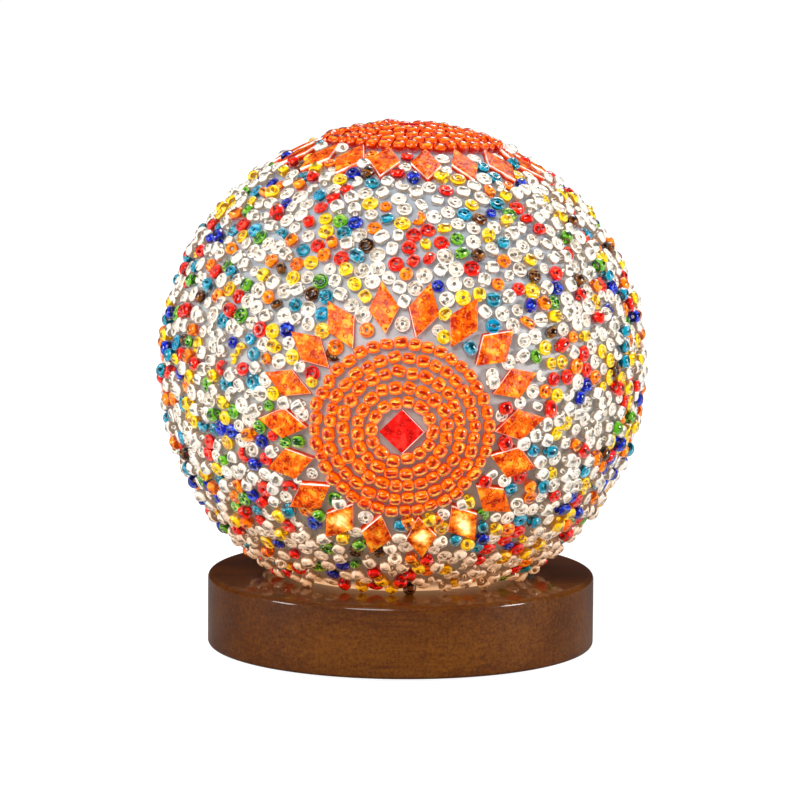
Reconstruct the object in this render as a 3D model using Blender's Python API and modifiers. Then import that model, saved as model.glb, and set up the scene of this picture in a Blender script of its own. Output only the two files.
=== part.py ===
"""Mosaic glass table lamp: a beaded glass globe that lifts off a turned wooden base with LEDs in it.

Metres, +Z up. The origin is the middle of the footprint, and the lamp's front faces -Y.
"""

import math

import bmesh
import bpy
from mathutils import Matrix, Vector

MM = 0.001
GAP = 0.3 * MM  # between neighbouring pieces

# Wooden base
BASE_RADIUS = 50 * MM
BASE_BOTTOM = 0.8 * MM
BASE_TOP = 19.5 * MM
TOP_EDGE_ROUND = 1.4 * MM
BOTTOM_EDGE_ROUND = 1.0 * MM
RECESS_RADIUS = 27.6 * MM  # takes the neck of the globe
RECESS_FLOOR = 13 * MM
RECESS_LIP = 0.5 * MM
CAVITY_RADIUS = 36 * MM  # holds the wiring
CAVITY_CEILING = 10 * MM
COVER_RADIUS = 43 * MM
COVER_BOTTOM = 1.5 * MM
COVER_TOP = 4 * MM
COVER_SEAT_RADIUS = COVER_RADIUS + 0.4 * MM
COVER_SEAT = COVER_TOP + GAP
COVER_SCREW_CIRCLE = 39.8 * MM
COVER_SCREW_COUNT = 4
HEAD_SEAT = 3 * MM  # where a cover screw's head bears
PAD_RADIUS = 34 * MM

# Glass globe and its coat
GLASS_RADIUS = 60 * MM
GLASS_WALL = 2.5 * MM
GLOBE_CENTRE = 73.4 * MM  # height above the table
NECK_RADIUS = 27 * MM
NECK_BOTTOM = 14.6 * MM
COAT_INNER = 60.9 * MM
COAT_OUTER = 63.8 * MM
COAT_END_DEG = 143.8  # from the top of the globe

# Medallions: azimuth from the front towards +X, and latitude, in degrees
MEDALLIONS = {
    "front": (0, -7),
    "right": (120, -7),
    "left": (-120, -7),
    "top": (137, 86.6),
}
MEDALLION_FLOOR = 60.6 * MM  # from the globe's centre
MEDALLION_OPENING_DEG = 36.0
SQUARE_SIDE = 8 * MM
TILE_BOTTOM = 60.75 * MM
TILE_TOP = 63.2 * MM
BEAD_RINGS = 5
BEAD_RINGS_START_DEG = 6.0
BEAD_RINGS_END_DEG = 21.9
RIB_CREST = 63.6 * MM
RIB_VALLEY = 62.2 * MM
DIAMOND_COUNT = 18
DIAMOND_CENTRE_DEG = 28.8
DIAMOND_HALF_LONG = 6.93 * MM
DIAMOND_HALF_SHORT = 4 * MM
BED_START_DEG = 22.5
BED_END_DEG = 35.2
BED_TOP = 61.3 * MM

# Light module
PLATE_RADIUS = 23.9 * MM
PLATE_THICKNESS = 1.5 * MM
BOARD_RADIUS = 20 * MM
BOARD_THICKNESS = 1.2 * MM
CHIP_COUNT = 6
CHIP_CIRCLE = 11 * MM
CHIP_SIZE = Vector((3.5, 2.8, 0.8)) * MM
BOARD_SCREW_COUNT = 3
BOARD_SCREW_CIRCLE = 17 * MM
DOME_RADIUS = 21.6 * MM
DOME_WALL = 1.2 * MM
DOME_SPRING = 18 * MM  # height where the dome starts to curve in
DOME_TOP = 35 * MM
DOME_FLANGE_RADIUS = 23.6 * MM

PLATE_BOTTOM = RECESS_FLOOR + GAP
PLATE_TOP = PLATE_BOTTOM + PLATE_THICKNESS
BOARD_BOTTOM = PLATE_TOP + GAP
BOARD_TOP = BOARD_BOTTOM + BOARD_THICKNESS

# Fittings in the rear wall, measured outwards from the lamp's axis
FITTING_HEIGHT = 10.1 * MM
FITTING_DEG = 16  # to each side of the rear
FLANGE_RADIUS = 6 * MM
FLANGE_SEAT = 48.8 * MM
FLANGE_BACK = FLANGE_SEAT + GAP
FLANGE_FACE = 50.3 * MM
BARREL_RADIUS = 3.9 * MM
BARREL_END = 35 * MM
WALL_HOLE_RADIUS = BARREL_RADIUS + GAP
POCKET_FAR = 43.3 * MM
POCKET_NEAR = 30.5 * MM
POCKET_HALF_WIDTH = 8.5 * MM
POCKET_CEILING = 16 * MM
NUT_RADIUS = 6.3 * MM
NUT_LENGTH = 2.4 * MM
SOCKET_RADIUS = 2.75 * MM
SOCKET_FLOOR = 40.5 * MM
PIN_RADIUS = 1 * MM
PIN_END = 49 * MM
BUTTON_RADIUS = 3 * MM
BUTTON_BORE_RADIUS = 3.3 * MM
BUTTON_BORE_FLOOR = 43.3 * MM
BUTTON_BACK = 45 * MM
BUTTON_FACE = 51.9 * MM

# Wiring
WIRE_RADIUS = 0.55 * MM
WIRE_HOLE_RADIUS = 3.2 * MM
WIRE_HOLE_Y = 9 * MM
DRIVER_SIZE = Vector((18, 14, 1.2)) * MM
DRIVER_CENTRE = Vector((0, -5, 9.1)) * MM
DRIVER_CHIP_SIZE = Vector((5, 4, 1.4)) * MM

# How finely round shapes are divided
GLOBE_STEPS = 30
BASE_STEPS = 48
MEDALLION_STEPS = 24
SMALL_STEPS = 16
GLOBE_ARC_STEPS = 13
WIRE_SAMPLES = 4  # between two points of a wire's route


def clear_scene():
    for obj in list(bpy.data.objects):
        bpy.data.objects.remove(obj)


def new_collection(name):
    collection = bpy.data.collections.new(name)
    bpy.context.scene.collection.children.link(collection)
    return collection


clear_scene()
PARTS = new_collection("mosaic_glass_table_lamp")
CUTTERS = new_collection("cutters")


def make_material(name, colour, roughness, metallic=0.0, alpha=1.0):
    material = bpy.data.materials.new(name)
    material.use_nodes = True
    shader = material.node_tree.nodes["Principled BSDF"]
    shader.inputs["Base Color"].default_value = (*colour, 1.0)
    shader.inputs["Roughness"].default_value = roughness
    shader.inputs["Metallic"].default_value = metallic
    shader.inputs["Alpha"].default_value = alpha
    return material


def as_part(obj, material, holder=None):
    """Puts an object with the parts, in its material and under its holder."""
    PARTS.objects.link(obj)
    obj.data.materials.append(material)
    obj.parent = holder
    return obj


def as_cutter(obj, holder=None):
    CUTTERS.objects.link(obj)
    obj.parent = holder
    obj.hide_render = True
    obj.display_type = "WIRE"
    return obj


def holder_at(name, location, rotation):
    """An empty that pieces are parented to, with its own +Z along the pieces' axis."""
    holder = bpy.data.objects.new(name, None)
    holder.location = location
    holder.rotation_euler = rotation
    PARTS.objects.link(holder)
    return holder


def boolean(target, tool, operation="DIFFERENCE"):
    modifier = target.modifiers.new(operation.lower() + "_" + tool.name, "BOOLEAN")
    modifier.operation = operation
    modifier.object = tool
    modifier.solver = "EXACT"


def polar(radius, degrees, centre_z=0.0):
    """A point (r, z) by its distance from a centre on the axis and its angle from +Z."""
    angle = math.radians(degrees)
    return (radius * math.sin(angle), centre_z + radius * math.cos(angle))


def arc(radius, start_deg, end_deg, steps, centre_z=0.0):
    """Points (r, z) of a circle about a centre on the axis."""
    turn = (end_deg - start_deg) / steps
    return [polar(radius, start_deg + turn * step, centre_z) for step in range(steps + 1)]


def corner(centre_r, centre_z, radius, start_deg, end_deg, steps=3):
    """Points (r, z) of a rounded edge."""
    return [(centre_r + r, centre_z + z) for r, z in arc(radius, start_deg, end_deg, steps)]


def turned(name, profile, steps, ring=False):
    """A profile of (r, z) points turned about +Z; a ring's profile closes on itself."""
    count = len(profile)
    edges = [(i, i + 1) for i in range(count - 1)]
    if ring:
        edges.append((count - 1, 0))
    mesh = bpy.data.meshes.new(name)
    mesh.from_pydata([(r, 0, z) for r, z in profile], edges, [])
    obj = bpy.data.objects.new(name, mesh)
    screw = obj.modifiers.new("turn", "SCREW")
    screw.steps = steps
    screw.render_steps = steps
    screw.use_smooth_shade = True
    screw.use_merge_vertices = True
    screw.merge_threshold = 0.00001
    return obj


def mesh_object(name, shape):
    mesh = bpy.data.meshes.new(name)
    shape.to_mesh(mesh)
    shape.free()
    return bpy.data.objects.new(name, mesh)


def block(name, size, centre=(0, 0, 0)):
    shape = bmesh.new()
    bmesh.ops.create_cube(shape, size=1)
    bmesh.ops.scale(shape, vec=size, verts=shape.verts)
    bmesh.ops.translate(shape, vec=centre, verts=shape.verts)
    return mesh_object(name, shape)


def drum(name, radius, low, high, sides=SMALL_STEPS):
    shape = bmesh.new()
    bmesh.ops.create_cone(
        shape, cap_ends=True, segments=sides, radius1=radius, radius2=radius, depth=high - low
    )
    bmesh.ops.translate(shape, vec=(0, 0, (low + high) / 2), verts=shape.verts)
    return mesh_object(name, shape)


def disc_profile(radius, low, high):
    return [(0, high), (radius, high), (radius, low), (0, low)]


def around(radius, index, count, start_deg=0.0):
    """A place on a circle about the lamp's axis."""
    angle = math.radians(start_deg + 360 * index / count)
    return Vector((radius * math.cos(angle), radius * math.sin(angle), 0))


def smooth_route(points):
    """Points along a smooth curve through the given ones."""
    knots = [Vector(point) * MM for point in points]
    ends = [2 * knots[0] - knots[1]] + knots + [2 * knots[-1] - knots[-2]]
    route = [knots[0]]
    for before, start, end, after in zip(ends, ends[1:], ends[2:], ends[3:]):
        for step in range(1, WIRE_SAMPLES + 1):
            t = step / WIRE_SAMPLES
            route.append(
                0.5
                * (
                    2 * start
                    + (end - before) * t
                    + (2 * before - 5 * start + 4 * end - after) * t**2
                    + (3 * start - before - 3 * end + after) * t**3
                )
            )
    return route


def wire(name, points, material, side=1):
    """A wire through the given points, or their mirror image where side is -1."""
    route = smooth_route([(side * x, y, z) for x, y, z in points])
    curve = bpy.data.curves.new(name, "CURVE")
    curve.dimensions = "3D"
    curve.bevel_depth = WIRE_RADIUS
    curve.bevel_resolution = 1
    curve.use_fill_caps = True
    spline = curve.splines.new("POLY")
    spline.points.add(len(route) - 1)
    for point, place in zip(spline.points, route):
        point.co = (*place, 1)
    as_part(bpy.data.objects.new(name, curve), material)


def base_profile():
    top_round = BASE_RADIUS - TOP_EDGE_ROUND
    bottom_round = BASE_RADIUS - BOTTOM_EDGE_ROUND
    return [
        (0, RECESS_FLOOR),
        (RECESS_RADIUS, RECESS_FLOOR),
        (RECESS_RADIUS, BASE_TOP - RECESS_LIP),
        (RECESS_RADIUS + RECESS_LIP, BASE_TOP),
        *corner(top_round, BASE_TOP - TOP_EDGE_ROUND, TOP_EDGE_ROUND, 0, 90, 4),
        *corner(bottom_round, BASE_BOTTOM + BOTTOM_EDGE_ROUND, BOTTOM_EDGE_ROUND, 90, 180, 3),
        (COVER_SEAT_RADIUS, BASE_BOTTOM),
        (COVER_SEAT_RADIUS, COVER_SEAT),
        (CAVITY_RADIUS, COVER_SEAT),
        (CAVITY_RADIUS, CAVITY_CEILING),
        (0, CAVITY_CEILING),
    ]


def make_fitting_holders():
    """An empty for each rear fitting, on the fitting's axis, with +Z pointing out of the base."""
    turns = {"power_inlet_axis": FITTING_DEG, "power_button_axis": -FITTING_DEG}
    return {
        name: holder_at(name, (0, 0, FITTING_HEIGHT), (math.radians(-90), 0, math.radians(turn)))
        for name, turn in turns.items()
    }


def fitting_cutters(holders):
    """Cuts each fitting's flange seat, its hole through the wall and the pocket behind it."""
    far_outside = BASE_RADIUS + 10 * MM
    hole = [
        (0, far_outside),
        (FLANGE_RADIUS + 0.4 * MM, far_outside),
        (FLANGE_RADIUS + 0.4 * MM, FLANGE_SEAT),
        (WALL_HOLE_RADIUS, FLANGE_SEAT),
        (WALL_HOLE_RADIUS, POCKET_FAR - MM),
        (0, POCKET_FAR - MM),
    ]
    pocket_height = POCKET_CEILING - COVER_SEAT + MM
    pocket_size = (2 * POCKET_HALF_WIDTH, pocket_height, POCKET_FAR - POCKET_NEAR)
    # The holder's own Y points down.
    pocket_middle = FITTING_HEIGHT - POCKET_CEILING + pocket_height / 2
    cutters = []
    for name, holder in holders.items():
        cutters.append(as_cutter(turned(name + "_hole", hole, SMALL_STEPS), holder))
        pocket = block(
            name + "_pocket", pocket_size, (0, pocket_middle, (POCKET_FAR + POCKET_NEAR) / 2)
        )
        cutters.append(as_cutter(pocket, holder))
    return cutters


def cover_screw_cutters():
    profile = [
        (0, 11 * MM),
        (1.8 * MM, 11 * MM),
        (1.8 * MM, HEAD_SEAT),
        (3 * MM, HEAD_SEAT),
        (3 * MM, COVER_BOTTOM - MM),
        (0, COVER_BOTTOM - MM),
    ]
    cutters = []
    for index in range(COVER_SCREW_COUNT):
        cutter = as_cutter(turned(f"cover_screw_hole_{index + 1}", profile, SMALL_STEPS))
        cutter.location = around(COVER_SCREW_CIRCLE, index, COVER_SCREW_COUNT, 45)
        cutters.append(cutter)
    return cutters


def board_screw_cutters():
    cutters = []
    for index in range(BOARD_SCREW_COUNT):
        name = f"board_screw_hole_{index + 1}"
        cutter = as_cutter(drum(name, 1.2 * MM, CAVITY_CEILING - MM, BOARD_TOP + MM))
        cutter.location = around(BOARD_SCREW_CIRCLE, index, BOARD_SCREW_COUNT, 30)
        cutters.append(cutter)
    return cutters


def make_wood_base(material, cutters):
    base = as_part(turned("wood_base", base_profile(), BASE_STEPS), material)
    for cutter in cutters:
        boolean(base, cutter)


def make_bottom_cover(material, screw_cutters):
    profile = disc_profile(COVER_RADIUS, COVER_BOTTOM, COVER_TOP)
    cover = as_part(turned("bottom_cover", profile, BASE_STEPS), material)
    for cutter in screw_cutters:
        boolean(cover, cutter)


def make_base_pad(material):
    as_part(turned("base_pad", disc_profile(PAD_RADIUS, 0, COVER_BOTTOM - GAP), GLOBE_STEPS), material)


def make_neck_gasket(material):
    """A silicone ring that the end of the neck stands on."""
    margin = 0.1 * MM
    inner = NECK_RADIUS - GLASS_WALL + margin
    outer = NECK_RADIUS - margin
    low = RECESS_FLOOR + GAP
    high = NECK_BOTTOM - GAP
    profile = [(inner, high), (outer, high), (outer, low), (inner, low)]
    as_part(turned("neck_gasket", profile, GLOBE_STEPS, ring=True), material)


def make_screw(name, place, head_top, shank_end, head_radius, shank_radius, material):
    """A pan-head screw with a slot; its head is above its shank, or below it if shank_end is higher."""
    length = abs(head_top - shank_end)
    head_height = 1.0 * MM
    slot_depth = 0.4 * MM
    edge = 0.3 * MM
    profile = [
        (0, 0),
        (head_radius - edge, 0),
        (head_radius, -edge),
        (head_radius, -head_height),
        (shank_radius, -head_height),
        (shank_radius, -length),
        (0, -length),
    ]
    rotation = (0, 0, 0) if shank_end < head_top else (math.pi, 0, 0)
    location = place + Vector((0, 0, head_top))
    screw = as_part(turned(name, profile, SMALL_STEPS), material)
    slot = as_cutter(block(name + "_slot", (3 * head_radius, 0.6 * MM, 2 * slot_depth)))
    for obj in (screw, slot):
        obj.location = location
        obj.rotation_euler = rotation
    boolean(screw, slot)


def make_cover_screws(material):
    for index in range(COVER_SCREW_COUNT):
        place = around(COVER_SCREW_CIRCLE, index, COVER_SCREW_COUNT, 45)
        head_top = HEAD_SEAT - GAP - MM
        make_screw(f"cover_screw_{index + 1}", place, head_top, 9.8 * MM, 2.6 * MM, 1.4 * MM, material)


def make_board_screws(material):
    for index in range(BOARD_SCREW_COUNT):
        place = around(BOARD_SCREW_CIRCLE, index, BOARD_SCREW_COUNT, 30)
        head_top = BOARD_TOP + GAP + MM
        make_screw(f"board_screw_{index + 1}", place, head_top, 10.8 * MM, 1.8 * MM, 0.9 * MM, material)


def make_heat_plate(material, cutters):
    profile = disc_profile(PLATE_RADIUS, PLATE_BOTTOM, PLATE_TOP)
    plate = as_part(turned("heat_plate", profile, GLOBE_STEPS), material)
    for cutter in cutters:
        boolean(plate, cutter)


def make_led_board(board_material, chip_material, screw_cutters):
    profile = disc_profile(BOARD_RADIUS, BOARD_BOTTOM, BOARD_TOP)
    board = as_part(turned("led_board", profile, GLOBE_STEPS), board_material)
    for cutter in screw_cutters:
        boolean(board, cutter)
    for index in range(CHIP_COUNT):
        chip = as_part(block(f"led_chip_{index + 1}", CHIP_SIZE), chip_material)
        lift = Vector((0, 0, BOARD_TOP + GAP + CHIP_SIZE.z / 2))
        chip.location = around(CHIP_CIRCLE, index, CHIP_COUNT) + lift
        chip.rotation_euler = (0, 0, 2 * math.pi * index / CHIP_COUNT)


def dome_arc(radius, top, start_deg, end_deg):
    """A quarter ellipse (r, z) from the dome's top to where it springs, or back."""
    rise = top - DOME_SPRING
    return [(r, DOME_SPRING + rise * z / radius) for r, z in arc(radius, start_deg, end_deg, 6)]


def make_diffuser_dome(material):
    inner = DOME_RADIUS - DOME_WALL
    flange_top = BOARD_TOP
    profile = [
        *dome_arc(DOME_RADIUS, DOME_TOP, 0, 90),
        (DOME_RADIUS, flange_top),
        (DOME_FLANGE_RADIUS, flange_top),
        (DOME_FLANGE_RADIUS, BOARD_BOTTOM),
        (inner, BOARD_BOTTOM),
        *dome_arc(inner, DOME_TOP - DOME_WALL, 90, 0),
    ]
    as_part(turned("diffuser_dome", profile, MEDALLION_STEPS), material)


def make_power_inlet(holder, material):
    profile = [
        (0, PIN_END),
        (PIN_RADIUS, PIN_END),
        (PIN_RADIUS, SOCKET_FLOOR),
        (SOCKET_RADIUS, SOCKET_FLOOR),
        (SOCKET_RADIUS, FLANGE_FACE),
        (FLANGE_RADIUS, FLANGE_FACE),
        (FLANGE_RADIUS, FLANGE_BACK),
        (BARREL_RADIUS, FLANGE_BACK),
        (BARREL_RADIUS, BARREL_END),
        (0, BARREL_END),
    ]
    as_part(turned("power_inlet", profile, SMALL_STEPS), material, holder)


def make_switch(holder, body_material, button_material):
    body = [
        (0, BUTTON_BORE_FLOOR),
        (BUTTON_BORE_RADIUS, BUTTON_BORE_FLOOR),
        (BUTTON_BORE_RADIUS, FLANGE_FACE),
        (FLANGE_RADIUS, FLANGE_FACE),
        (FLANGE_RADIUS, FLANGE_BACK),
        (BARREL_RADIUS, FLANGE_BACK),
        (BARREL_RADIUS, BARREL_END),
        (0, BARREL_END),
    ]
    as_part(turned("switch_body", body, SMALL_STEPS), body_material, holder)
    edge = 0.5 * MM
    cap = [
        (0, BUTTON_FACE),
        (BUTTON_RADIUS - edge, BUTTON_FACE),
        (BUTTON_RADIUS, BUTTON_FACE - edge),
        (BUTTON_RADIUS, BUTTON_BACK),
        (0, BUTTON_BACK),
    ]
    as_part(turned("power_button", cap, SMALL_STEPS), button_material, holder)


def make_nut(name, holder, material):
    """A hexagon nut that clamps a fitting from inside the pocket."""
    near = POCKET_FAR - GAP - NUT_LENGTH
    nut = as_part(drum(name, NUT_RADIUS, near, near + NUT_LENGTH, 6), material, holder)
    nut.rotation_euler.z = math.radians(30)  # a flat side faces the cover
    bore = as_cutter(drum(name + "_bore", WALL_HOLE_RADIUS, near - MM, near + NUT_LENGTH + MM), holder)
    boolean(nut, bore)


def make_driver(board_material, chip_material):
    as_part(block("driver_board", DRIVER_SIZE, DRIVER_CENTRE), board_material)
    drop = (DRIVER_SIZE.z + DRIVER_CHIP_SIZE.z) / 2 + GAP
    chip_centre = DRIVER_CENTRE - Vector((0, 0, drop))
    as_part(block("driver_chip", DRIVER_CHIP_SIZE, chip_centre), chip_material)


def make_wires(red, black):
    """Short wires inside the base; their routes are in millimetres."""
    wire(
        "supply_wire",
        [(-8.3, 33.6, 10.1), (-6, 29.6, 8.6), (0, 27.4, 7.6), (6, 29.6, 8.6), (8.3, 33.6, 10.1)],
        red,
    )
    for name, side, material in (("switched_wire", 1, red), ("ground_wire", -1, black)):
        wire(
            name,
            [(10.8, 32.9, 10.1), (12.5, 27, 8), (10, 15, 7), (6, 6, 7.8), (4.5, 2.4, 9.1)],
            material,
            side,
        )
    for name, side, material in (("led_wire_red", 1, red), ("led_wire_black", -1, black)):
        wire(
            name,
            [(1.3, 2.4, 9.1), (1.3, 5.5, 8.3), (1.3, 8.4, 9.8), (1.3, 9, 12.4), (1.3, 9, 14.8)],
            material,
            side,
        )


def make_glass_globe(material):
    outer_neck_deg = 180 - math.degrees(math.asin(NECK_RADIUS / GLASS_RADIUS))
    inner_radius = GLASS_RADIUS - GLASS_WALL
    inner_neck = NECK_RADIUS - GLASS_WALL
    inner_neck_deg = 180 - math.degrees(math.asin(inner_neck / inner_radius))
    profile = [
        *arc(GLASS_RADIUS, 0, outer_neck_deg, GLOBE_ARC_STEPS, GLOBE_CENTRE),
        (NECK_RADIUS, NECK_BOTTOM),
        (inner_neck, NECK_BOTTOM),
        *arc(inner_radius, inner_neck_deg, 0, GLOBE_ARC_STEPS, GLOBE_CENTRE),
    ]
    as_part(turned("glass_globe", profile, GLOBE_STEPS), material)


def make_bead_field(material, cones):
    profile = [
        *arc(COAT_OUTER, 0, COAT_END_DEG, GLOBE_ARC_STEPS, GLOBE_CENTRE),
        *arc(COAT_INNER, COAT_END_DEG, 0, GLOBE_ARC_STEPS, GLOBE_CENTRE),
    ]
    field = as_part(turned("bead_field", profile, GLOBE_STEPS), material)
    for cone in cones:
        boolean(field, cone)


def make_medallion_holders():
    """An empty at the globe's centre for each medallion, with +Z through the medallion's middle."""
    holders = {}
    for side, (azimuth, latitude) in MEDALLIONS.items():
        rotation = (math.radians(90 - latitude), 0, math.radians(azimuth))
        holders[side] = holder_at(side + "_medallion_axis", (0, 0, GLOBE_CENTRE), rotation)
    return holders


def medallion_cone(side, holder):
    """Cuts a medallion's round opening in the bead field."""
    reach = COAT_OUTER + 10 * MM
    shape = bmesh.new()
    bmesh.ops.create_cone(
        shape,
        cap_ends=True,
        segments=MEDALLION_STEPS,
        radius1=0,
        radius2=reach * math.tan(math.radians(MEDALLION_OPENING_DEG)),
        depth=reach,
    )
    bmesh.ops.translate(shape, vec=(0, 0, reach / 2), verts=shape.verts)
    return as_cutter(mesh_object(side + "_opening", shape), holder)


def make_centre_tile(side, holder, material):
    tile = block(side + "_centre_tile", (SQUARE_SIDE, SQUARE_SIDE, TILE_TOP - TILE_BOTTOM))
    tile.location = (0, 0, (TILE_BOTTOM + TILE_TOP) / 2)
    tile.rotation_euler = (0, 0, math.radians(45))
    as_part(tile, material, holder)


def make_bead_rings(side, holder, material):
    """Rings of beads as one turned cap with a rib for each ring."""
    pitch = (BEAD_RINGS_END_DEG - BEAD_RINGS_START_DEG) / BEAD_RINGS
    outer = []
    for ring in range(BEAD_RINGS):
        start = BEAD_RINGS_START_DEG + ring * pitch
        outer.append(polar(RIB_VALLEY, start))
        outer.append(polar(RIB_CREST, start + 0.25 * pitch))
        outer.append(polar(RIB_CREST, start + 0.75 * pitch))
    outer.append(polar(RIB_VALLEY, BEAD_RINGS_END_DEG))
    inner = arc(MEDALLION_FLOOR, BEAD_RINGS_END_DEG, BEAD_RINGS_START_DEG, 2)
    rings = turned(side + "_bead_rings", outer + inner, MEDALLION_STEPS, ring=True)
    as_part(rings, material, holder)


def diamonds(side, holder):
    """The ring of diamond tiles as one mesh, each flat on the globe with its long diagonal outwards."""
    shape = bmesh.new()
    for index in range(DIAMOND_COUNT):
        tile = bmesh.ops.create_cone(
            shape, cap_ends=True, segments=4, radius1=1, radius2=1, depth=TILE_TOP - TILE_BOTTOM
        )["verts"]
        bmesh.ops.scale(shape, vec=(DIAMOND_HALF_LONG, DIAMOND_HALF_SHORT, 1), verts=tile)
        bmesh.ops.translate(shape, vec=(0, 0, (TILE_BOTTOM + TILE_TOP) / 2), verts=tile)
        for degrees, axis in ((DIAMOND_CENTRE_DEG, "Y"), (360 * index / DIAMOND_COUNT, "Z")):
            bmesh.ops.rotate(shape, matrix=Matrix.Rotation(math.radians(degrees), 3, axis), verts=tile)
    return as_cutter(mesh_object(side + "_diamonds", shape), holder)


def make_tile_ring(side, holder, material):
    """Diamond tiles on the thin bed of adhesive that joins them."""
    bed = [
        *arc(BED_TOP, BED_START_DEG, BED_END_DEG, 2),
        *arc(MEDALLION_FLOOR, BED_END_DEG, BED_START_DEG, 2),
    ]
    ring = as_part(turned(side + "_tile_ring", bed, MEDALLION_STEPS, ring=True), material, holder)
    boolean(ring, diamonds(side, holder), "UNION")


def make_base():
    wood = make_material("walnut", (0.155, 0.052, 0.018), 0.35)
    black_plastic = make_material("black_plastic", (0.02, 0.02, 0.02), 0.4)
    rubber = make_material("rubber", (0.03, 0.03, 0.03), 0.8)
    silicone = make_material("silicone", (0.8, 0.8, 0.78), 0.5)
    aluminium = make_material("aluminium", (0.75, 0.76, 0.78), 0.3, metallic=1.0)
    steel = make_material("zinc_plated_steel", (0.6, 0.6, 0.58), 0.3, metallic=1.0)
    white_board = make_material("white_board", (0.85, 0.85, 0.83), 0.4)
    green_board = make_material("green_board", (0.02, 0.2, 0.06), 0.4)
    phosphor = make_material("phosphor", (0.95, 0.75, 0.2), 0.5)
    opal = make_material("opal_diffuser", (0.92, 0.92, 0.9), 0.4)
    red_insulation = make_material("red_insulation", (0.6, 0.02, 0.02), 0.4)
    black_insulation = make_material("black_insulation", (0.01, 0.01, 0.01), 0.4)

    fittings = make_fitting_holders()
    cover_cutters = cover_screw_cutters()
    board_cutters = board_screw_cutters()
    wire_hole = as_cutter(drum("wire_hole", WIRE_HOLE_RADIUS, CAVITY_CEILING - MM, PLATE_TOP + GAP / 2))
    wire_hole.location.y = WIRE_HOLE_Y

    make_wood_base(wood, fitting_cutters(fittings) + cover_cutters + board_cutters + [wire_hole])
    make_bottom_cover(black_plastic, cover_cutters)
    make_base_pad(rubber)
    make_neck_gasket(silicone)
    make_cover_screws(steel)
    make_heat_plate(aluminium, board_cutters + [wire_hole])
    make_led_board(white_board, phosphor, board_cutters)
    make_board_screws(steel)
    make_diffuser_dome(opal)
    make_power_inlet(fittings["power_inlet_axis"], black_plastic)
    make_nut("inlet_nut", fittings["power_inlet_axis"], steel)
    make_switch(fittings["power_button_axis"], black_plastic, black_plastic)
    make_nut("switch_nut", fittings["power_button_axis"], steel)
    make_driver(green_board, black_plastic)
    make_wires(red_insulation, black_insulation)


def make_globe():
    frosted_glass = make_material("frosted_glass", (0.85, 0.86, 0.86), 0.5, alpha=0.4)
    mixed_beads = make_material("mixed_beads", (0.7, 0.66, 0.58), 0.15)
    red_glass = make_material("red_glass", (0.6, 0.02, 0.01), 0.1)
    orange_beads = make_material("orange_beads", (0.85, 0.2, 0.02), 0.12)
    orange_glass = make_material("orange_glass", (0.8, 0.16, 0.01), 0.1)

    holders = make_medallion_holders()
    make_glass_globe(frosted_glass)
    cones = [medallion_cone(side, holder) for side, holder in holders.items()]
    make_bead_field(mixed_beads, cones)
    for side, holder in holders.items():
        make_centre_tile(side, holder, red_glass)
        make_bead_rings(side, holder, orange_beads)
        make_tile_ring(side, holder, orange_glass)


make_base()
make_globe()
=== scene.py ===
"""Looks of the mosaic glass table lamp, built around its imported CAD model.

A frosted glass globe is covered with seed beads and carries four medallions of orange beads and diamond
tiles. It stands on a turned walnut-stained base and is lit from below by LEDs under an opal dome.
Everything is in metres, in the CAD model's own frame; the front of the lamp faces -Y.
"""

import math

import bmesh
import bpy
import numpy as np
from mathutils import Matrix, Vector


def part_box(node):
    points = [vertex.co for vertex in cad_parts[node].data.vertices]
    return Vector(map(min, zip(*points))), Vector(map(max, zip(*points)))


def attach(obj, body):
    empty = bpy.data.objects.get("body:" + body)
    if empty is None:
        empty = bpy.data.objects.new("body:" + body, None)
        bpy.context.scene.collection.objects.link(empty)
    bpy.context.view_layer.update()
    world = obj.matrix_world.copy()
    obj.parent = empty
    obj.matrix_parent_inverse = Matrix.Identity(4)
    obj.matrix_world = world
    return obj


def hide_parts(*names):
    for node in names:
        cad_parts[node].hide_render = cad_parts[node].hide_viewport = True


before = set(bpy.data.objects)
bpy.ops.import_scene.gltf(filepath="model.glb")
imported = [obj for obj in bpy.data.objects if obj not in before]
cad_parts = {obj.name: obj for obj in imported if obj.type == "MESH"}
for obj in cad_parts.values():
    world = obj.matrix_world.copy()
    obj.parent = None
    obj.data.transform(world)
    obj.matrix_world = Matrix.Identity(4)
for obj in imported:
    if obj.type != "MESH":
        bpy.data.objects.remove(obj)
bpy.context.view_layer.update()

MM = 0.001
SEED = 29
UP = np.array([0.0, 0.0, 1.0])
WHITE = (1.0, 1.0, 1.0)

# The globe: its place is the frame's, its sizes are the CAD model's
GLASS_RADIUS = 60 * MM
GLOBE_CENTRE = Vector((0, 0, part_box("glass_globe")[1].z - GLASS_RADIUS))
CENTRE = np.array(GLOBE_CENTRE)
NECK_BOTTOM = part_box("glass_globe")[0].z
GLASS_WALL = 2.5 * MM
NECK_RADIUS = 27 * MM
COAT_END_DEG = 147.0
BASE_LOW, BASE_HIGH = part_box("wood_base")
BASE_TOP = BASE_HIGH.z

# Beads
BEAD_RADIUS = 2.0 * MM
BEAD_HALF_LENGTH = 1.5 * MM
HOLE_RADIUS = 0.45 * MM
BEAD_SEGMENTS = 16
FIELD_BEADS = 1980
FIELD_SPACING_RADIUS = 1.93 * MM
SPREAD_STEPS = 140
BEAD_SUNK = 0.3 * MM
# The row along the coat's lower edge, and the beads in the notches between diamonds
EDGE_BEADS = 50
EDGE_BEAD_DEG = 147.5
GAP_BEAD_DEG = 25.0
# How a bead of the field lies, and the share of each
ON_END, ON_SIDE, LEANING, BROKEN = range(4)
LIE_SHARES = (0.50, 0.36, 0.09, 0.05)
BROKEN_SWEEP_DEG = 215.0
SMALL_BEAD_SHARE = 0.1
SMALL_BEAD_SCALE = 0.78

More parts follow.
